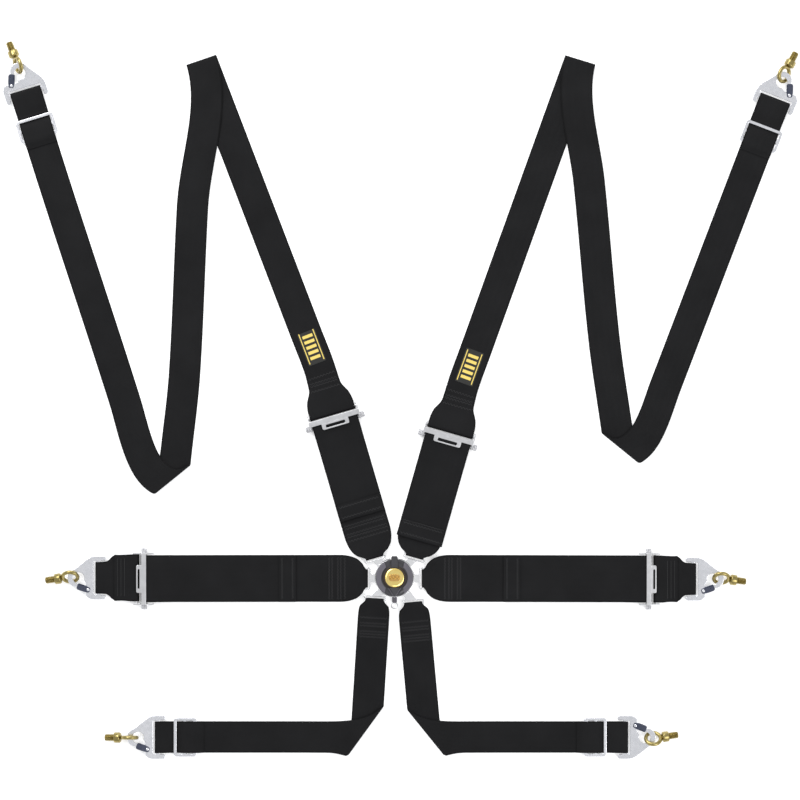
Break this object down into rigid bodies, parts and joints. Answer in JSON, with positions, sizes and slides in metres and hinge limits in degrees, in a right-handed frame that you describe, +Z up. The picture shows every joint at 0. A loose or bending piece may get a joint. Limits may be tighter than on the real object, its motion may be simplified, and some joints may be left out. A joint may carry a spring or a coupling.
{
  "type": "racing harness",
  "caption": "Motorsport safety harness laid flat: rotary release buckle with folded black shoulder, lap and crotch webbing, tilt adjusters, slides, snap hooks and eye bolts.",
  "frame": {"origin": "centre of the rotary buckle's back plate, on the surface that the harness lies on", "axes": "+Y towards the shoulder straps, +X towards the lap strap on the right of the layout, +Z up out of the buckle's face"},
  "size_m": [1.2881, 1.1615, 0.0302],
  "materials": {
    "webbing": "woven black polyester",
    "tongue_steel": "bright plated steel",
    "housing": "bright plated steel",
    "rotor_grey": "dark grey satin coating",
    "gold_cap": "satin gold",
    "inner_steel": "oiled steel",
    "spring_steel": "spring wire",
    "adjuster_steel": "satin plated steel",
    "bar_steel": "bright knurled steel",
    "hook_zinc": "bright zinc",
    "gate_steel": "dark blued steel",
    "yellow_zinc": "yellow passivated zinc"
  },
  "bodies": {
    "buckle": {"buckle_back_plate": "housing", "tongue_guide": "housing", "buckle_cover": "housing", "cover_rivets": "housing", "release_eye": "housing", "ejector_springs": "spring_steel", "lifter_spring": "spring_steel", "rotor_return_spring": "spring_steel"},
    "rotor": {"rotor_knob": "rotor_grey", "knob_cap": "gold_cap", "cam_spindle": "inner_steel", "lift_cam": "inner_steel"},
    "lifter": {"lifter_plate": "inner_steel", "latch_bolts": "inner_steel"},
    "left_shoulder_strap": {"left_shoulder_tongue": "tongue_steel", "left_shoulder_lower_webbing": "webbing", "left_shoulder_upper_webbing": "webbing"},
    "left_shoulder_adjuster": {"left_shoulder_adjuster_frame": "adjuster_steel", "left_shoulder_adjuster_bar": "bar_steel"},
    "left_shoulder_hook": {"left_shoulder_hook": "hook_zinc"},
    "left_shoulder_gate": {"left_shoulder_gate": "gate_steel"},
    "left_shoulder_eye": {"left_shoulder_eye_bolt": "yellow_zinc"},
    "left_shoulder_slide": {"left_shoulder_slide": "hook_zinc"},
    "right_shoulder_strap": {"right_shoulder_tongue": "tongue_steel", "right_shoulder_lower_webbing": "webbing", "right_shoulder_upper_webbing": "webbing"},
    "right_shoulder_adjuster": {"right_shoulder_adjuster_frame": "adjuster_steel", "right_shoulder_adjuster_bar": "bar_steel"},
    "right_shoulder_hook": {"right_shoulder_hook": "hook_zinc"},
    "right_shoulder_gate": {"right_shoulder_gate": "gate_steel"},
    "right_shoulder_eye": {"right_shoulder_eye_bolt": "yellow_zinc"},
    "right_shoulder_slide": {"right_shoulder_slide": "hook_zinc"},
    "left_lap_strap": {"left_lap_tongue": "tongue_steel", "left_lap_webbing": "webbing"},
    "left_lap_adjuster": {"left_lap_adjuster_frame": "adjuster_steel", "left_lap_adjuster_bar": "bar_steel"},
    "left_lap_anchor": {"left_lap_anchor_webbing": "webbing"},
    "left_lap_hook": {"left_lap_hook": "hook_zinc"},
    "left_lap_gate": {"left_lap_gate": "gate_steel"},
    "left_lap_eye": {"left_lap_eye_bolt": "yellow_zinc"},
    "right_lap_strap": {"right_lap_tongue": "tongue_steel", "right_lap_webbing": "webbing"},
    "right_lap_adjuster": {"right_lap_adjuster_frame": "adjuster_steel", "right_lap_adjuster_bar": "bar_steel"},
    "right_lap_anchor": {"right_lap_anchor_webbing": "webbing"},
    "right_lap_hook": {"right_lap_hook": "hook_zinc"},
    "right_lap_gate": {"right_lap_gate": "gate_steel"},
    "right_lap_eye": {"right_lap_eye_bolt": "yellow_zinc"},
    "left_crotch_strap": {"left_crotch_tongue": "tongue_steel", "left_crotch_webbing": "webbing"},
    "left_crotch_hook": {"left_crotch_hook": "hook_zinc"},
    "left_crotch_gate": {"left_crotch_gate": "gate_steel"},
    "left_crotch_eye": {"left_crotch_eye_bolt": "yellow_zinc"},
    "left_crotch_slide": {"left_crotch_slide": "hook_zinc"},
    "right_crotch_strap": {"right_crotch_tongue": "tongue_steel", "right_crotch_webbing": "webbing"},
    "right_crotch_hook": {"right_crotch_hook": "hook_zinc"},
    "right_crotch_gate": {"right_crotch_gate": "gate_steel"},
    "right_crotch_eye": {"right_crotch_eye_bolt": "yellow_zinc"},
    "right_crotch_slide": {"right_crotch_slide": "hook_zinc"}
  },
  "joints": [
    {"name": "rotor_turn", "type": "hinge", "parent": "buckle", "child": "rotor", "pos_m": [0, 0, 0], "axis": [0, 0, 1], "range_deg": [0, 60], "stiffness_Nm_per_rad": 0.3},
    {"name": "lifter_rise", "type": "slide", "parent": "buckle", "child": "lifter", "axis": [0, 0, 1], "range_m": [0, 0.004], "deforming": ["lifter_spring"]},
    {"name": "left_shoulder_tongue_eject", "type": "slide", "parent": "buckle", "child": "left_shoulder_strap", "axis": [-0.7184, 0.6956, 0], "range_m": [0, 0.002]},
    {"name": "left_shoulder_adjuster_tilt", "type": "hinge", "parent": "left_shoulder_strap", "child": "left_shoulder_adjuster", "pos_m": [-0.10077, 0.26732, 0.0054], "axis": [-0.9598, -0.2808, 0], "range_deg": [0, 25]},
    {"name": "left_shoulder_hook_swing", "type": "hinge", "parent": "left_shoulder_strap", "child": "left_shoulder_hook", "pos_m": [-0.5965, 0.7845, 0.0052], "axis": [0.9563, 0.2924, 0], "range_deg": [-60, 60]},
    {"name": "left_shoulder_gate_open", "type": "hinge", "parent": "left_shoulder_hook", "child": "left_shoulder_gate", "pos_m": [-0.6196, 0.79506, 0.00744], "axis": [-0.0385, 0.126, -0.9913], "range_deg": [0, 22], "stiffness_Nm_per_rad": 0.05},
    {"name": "left_shoulder_eye_swing", "type": "hinge", "parent": "left_shoulder_hook", "child": "left_shoulder_eye", "pos_m": [-0.6084, 0.82803, 0.01408], "axis": [-0.8667, -0.265, 0.4226], "range_deg": [-45, 45]},
    {"name": "left_shoulder_slide_travel", "type": "slide", "parent": "left_shoulder_strap", "child": "left_shoulder_slide", "axis": [-0.2924, 0.9563, 0], "range_m": [0, 0.018]},
    {"name": "right_shoulder_tongue_eject", "type": "slide", "parent": "buckle", "child": "right_shoulder_strap", "axis": [0.7127, 0.7015, 0], "range_m": [0, 0.002]},
    {"name": "right_shoulder_adjuster_tilt", "type": "hinge", "parent": "right_shoulder_strap", "child": "right_shoulder_adjuster", "pos_m": [0.09064, 0.23836, 0.0054], "axis": [-0.9621, 0.2727, 0], "range_deg": [0, 25]},
    {"name": "right_shoulder_hook_swing", "type": "hinge", "parent": "right_shoulder_strap", "child": "right_shoulder_hook", "pos_m": [0.615, 0.7705, 0.0052], "axis": [0.9336, -0.3584, 0], "range_deg": [-60, 60]},
    {"name": "right_shoulder_gate_open", "type": "hinge", "parent": "right_shoulder_hook", "child": "right_shoulder_gate", "pos_m": [0.63879, 0.77946, 0.00713], "axis": [-0.0407, -0.1062, 0.9935], "range_deg": [0, 22], "stiffness_Nm_per_rad": 0.05},
    {"name": "right_shoulder_eye_swing", "type": "hinge", "parent": "right_shoulder_hook", "child": "right_shoulder_eye", "pos_m": [0.62973, 0.81327, 0.01212], "axis": [-0.6938, 0.2663, -0.6691], "range_deg": [-45, 45]},
    {"name": "right_shoulder_slide_travel", "type": "slide", "parent": "right_shoulder_strap", "child": "right_shoulder_slide", "axis": [0.3584, 0.9336, 0], "range_m": [0, 0.018]},
    {"name": "left_lap_tongue_eject", "type": "slide", "parent": "buckle", "child": "left_lap_strap", "axis": [-0.9989, -0.0465, 0], "range_m": [0, 0.002]},
    {"name": "left_lap_adjuster_tilt", "type": "hinge", "parent": "left_lap_strap", "child": "left_lap_adjuster", "pos_m": [-0.405, -0.0025, 0.0062], "axis": [-0.0014, 1, 0], "range_deg": [0, 15]},
    {"name": "left_lap_anchor_level", "type": "hinge", "parent": "left_lap_adjuster", "child": "left_lap_anchor", "pos_m": [-0.418, -0.00252, 0.0054], "axis": [-0.0014, 1, 0], "range_deg": [-15, 0]},
    {"name": "left_lap_hook_swing", "type": "hinge", "parent": "left_lap_anchor", "child": "left_lap_hook", "pos_m": [-0.479, -0.001, 0.0052], "axis": [0, 1, 0], "range_deg": [-60, 60]},
    {"name": "left_lap_gate_open", "type": "hinge", "parent": "left_lap_hook", "child": "left_lap_gate", "pos_m": [-0.49589, -0.02, 0.00713], "axis": [-0.1137, 0, -0.9935], "range_deg": [0, 22], "stiffness_Nm_per_rad": 0.05},
    {"name": "left_lap_eye_swing", "type": "hinge", "parent": "left_lap_hook", "child": "left_lap_eye", "pos_m": [-0.52421, 0.00057, 0.01212], "axis": [0, -0.7431, 0.6691], "range_deg": [-45, 45]},
    {"name": "right_lap_tongue_eject", "type": "slide", "parent": "buckle", "child": "right_lap_strap", "axis": [0.999, -0.0454, 0], "range_m": [0, 0.002]},
    {"name": "right_lap_adjuster_tilt", "type": "hinge", "parent": "right_lap_strap", "child": "right_lap_adjuster", "pos_m": [0.411, -0.003, 0.0062], "axis": [-0.0027, -1, 0], "range_deg": [0, 15]},
    {"name": "right_lap_anchor_level", "type": "hinge", "parent": "right_lap_adjuster", "child": "right_lap_anchor", "pos_m": [0.424, -0.00303, 0.0054], "axis": [-0.0027, -1, 0], "range_deg": [-15, 0]},
    {"name": "right_lap_hook_swing", "type": "hinge", "parent": "right_lap_anchor", "child": "right_lap_hook", "pos_m": [0.483, -0.003, 0.0052], "axis": [0, -1, 0], "range_deg": [-60, 60]},
    {"name": "right_lap_gate_open", "type": "hinge", "parent": "right_lap_hook", "child": "right_lap_gate", "pos_m": [0.49989, -0.022, 0.00713], "axis": [-0.1137, 0, 0.9935], "range_deg": [0, 22], "stiffness_Nm_per_rad": 0.05},
    {"name": "right_lap_eye_swing", "type": "hinge", "parent": "right_lap_hook", "child": "right_lap_eye", "pos_m": [0.52821, -0.00143, 0.01212], "axis": [0, 0.7431, -0.6691], "range_deg": [-45, 45]},
    {"name": "left_crotch_tongue_eject", "type": "slide", "parent": "buckle", "child": "left_crotch_strap", "axis": [-0.6854, -0.7282, 0], "range_m": [0, 0.002]},
    {"name": "left_crotch_hook_swing", "type": "hinge", "parent": "left_crotch_strap", "child": "left_crotch_hook", "pos_m": [-0.383, -0.259, 0.0052], "axis": [0, 1, 0], "range_deg": [-60, 60]},
    {"name": "left_crotch_gate_open", "type": "hinge", "parent": "left_crotch_hook", "child": "left_crotch_gate", "pos_m": [-0.39986, -0.278, 0.00736], "axis": [-0.127, 0, -0.9919], "range_deg": [0, 22], "stiffness_Nm_per_rad": 0.05},
    {"name": "left_crotch_eye_swing", "type": "hinge", "parent": "left_crotch_hook", "child": "left_crotch_eye", "pos_m": [-0.42813, -0.25871, 0.01517], "axis": [0, -0.9976, 0.0698], "range_deg": [-45, 45]},
    {"name": "left_crotch_slide_travel", "type": "slide", "parent": "left_crotch_strap", "child": "left_crotch_slide", "axis": [-1, 0, 0], "range_m": [0, 0.008]},
    {"name": "right_crotch_tongue_eject", "type": "slide", "parent": "buckle", "child": "right_crotch_strap", "axis": [0.6, -0.8, 0], "range_m": [0, 0.002]},
    {"name": "right_crotch_hook_swing", "type": "hinge", "parent": "right_crotch_strap", "child": "right_crotch_hook", "pos_m": [0.373, -0.259, 0.0052], "axis": [0, -1, 0], "range_deg": [-60, 60]},
    {"name": "right_crotch_gate_open", "type": "hinge", "parent": "right_crotch_hook", "child": "right_crotch_gate", "pos_m": [0.3899, -0.24, 0.00701], "axis": [0.1064, 0, -0.9943], "range_deg": [0, 22], "stiffness_Nm_per_rad": 0.05},
    {"name": "right_crotch_eye_swing", "type": "hinge", "parent": "right_crotch_hook", "child": "right_crotch_eye", "pos_m": [0.41824, -0.26055, 0.01154], "axis": [0, 0.6947, 0.7193], "range_deg": [-45, 45]},
    {"name": "right_crotch_slide_travel", "type": "slide", "parent": "right_crotch_strap", "child": "right_crotch_slide", "axis": [1, 0, 0], "range_m": [0, 0.008]}
  ],
  "couplings": [
    {"joint": "lifter_rise", "follows": "rotor_turn", "m_per_rad": 0.0038197},
    {"joint": "left_shoulder_tongue_eject", "follows": "rotor_turn", "m_per_rad": 0.0019099},
    {"joint": "right_shoulder_tongue_eject", "follows": "rotor_turn", "m_per_rad": 0.0019099},
    {"joint": "left_lap_tongue_eject", "follows": "rotor_turn", "m_per_rad": 0.0019099},
    {"joint": "left_lap_anchor_level", "follows": "left_lap_adjuster_tilt", "ratio": -1},
    {"joint": "right_lap_tongue_eject", "follows": "rotor_turn", "m_per_rad": 0.0019099},
    {"joint": "right_lap_anchor_level", "follows": "right_lap_adjuster_tilt", "ratio": -1},
    {"joint": "left_crotch_tongue_eject", "follows": "rotor_turn", "m_per_rad": 0.0019099},
    {"joint": "right_crotch_tongue_eject", "follows": "rotor_turn", "m_per_rad": 0.0019099}
  ]
}
